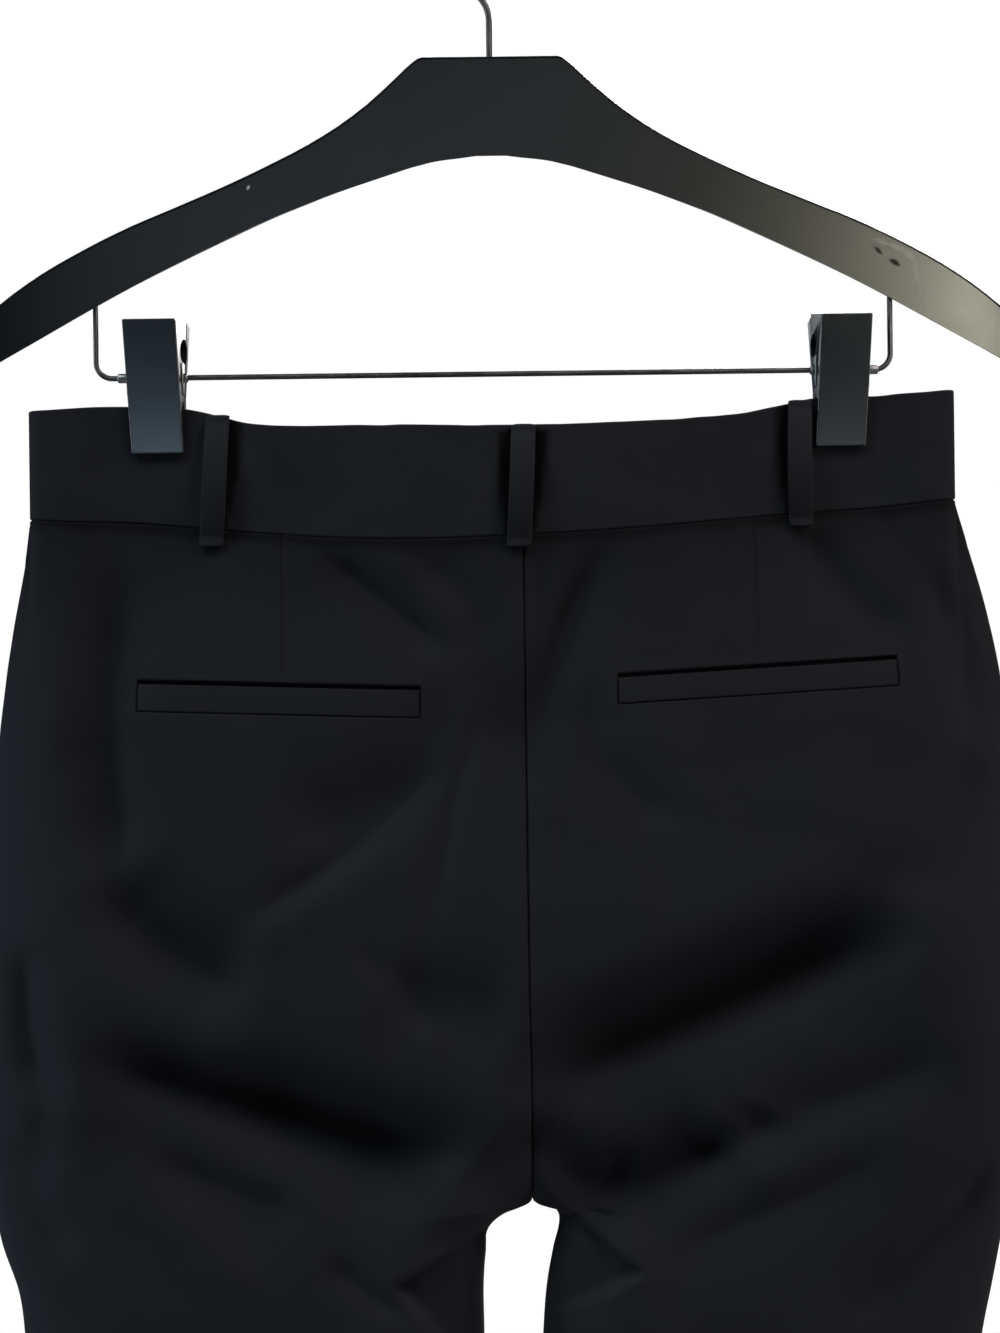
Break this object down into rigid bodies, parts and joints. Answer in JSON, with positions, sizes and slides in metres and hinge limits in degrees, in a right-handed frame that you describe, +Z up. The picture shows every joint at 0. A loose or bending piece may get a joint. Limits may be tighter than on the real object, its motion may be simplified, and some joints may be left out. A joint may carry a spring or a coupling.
{
  "type": "capri trousers on a clip hanger",
  "caption": "Tailored capri trousers with belt loops and welt back pockets, clipped by the waistband to a contoured hanger with a hook and a wire bar.",
  "frame": {"origin": "inside top of the hanger's hook, where it hangs on a rail", "axes": "+Z up, -Y out of the back of the trousers, +X to the wearer's right along the hanger"},
  "size_m": [0.441, 0.0717, 1.0326],
  "materials": {
    "cloth": "black fine wool-blend twill, matte",
    "zip_tape": "black woven tape",
    "zip_metal": "dark plated",
    "button": "black, satin",
    "hanger_plastic": "black, moulded, satin",
    "clip_plastic": "black, moulded, satin",
    "wire": "black-nickel plated wire",
    "spring_steel": "bright spring strip"
  },
  "bodies": {
    "root": {"leg_back_left": "cloth", "leg_back_right": "cloth", "leg_front_left": "cloth", "leg_front_right": "cloth", "waistband_back": "cloth", "waistband_front_left": "cloth", "waistband_front_right": "cloth", "belt_loop_back_left": "cloth", "belt_loop_back_centre": "cloth", "belt_loop_back_right": "cloth", "belt_loop_front_left": "cloth", "belt_loop_front_right": "cloth", "pocket_welt_left": "cloth", "pocket_welt_right": "cloth", "fly_shield": "cloth", "zip_tape": "zip_tape", "zip_slider": "zip_metal", "waist_button": "button", "hanger_body": "hanger_plastic", "hanger_hook": "wire", "trouser_bar": "wire", "clip_left_jaw_back": "clip_plastic", "clip_left_jaw_front": "clip_plastic", "clip_left_spring": "spring_steel", "clip_right_jaw_back": "clip_plastic", "clip_right_jaw_front": "clip_plastic", "clip_right_spring": "spring_steel"}
  },
  "joints": []
}
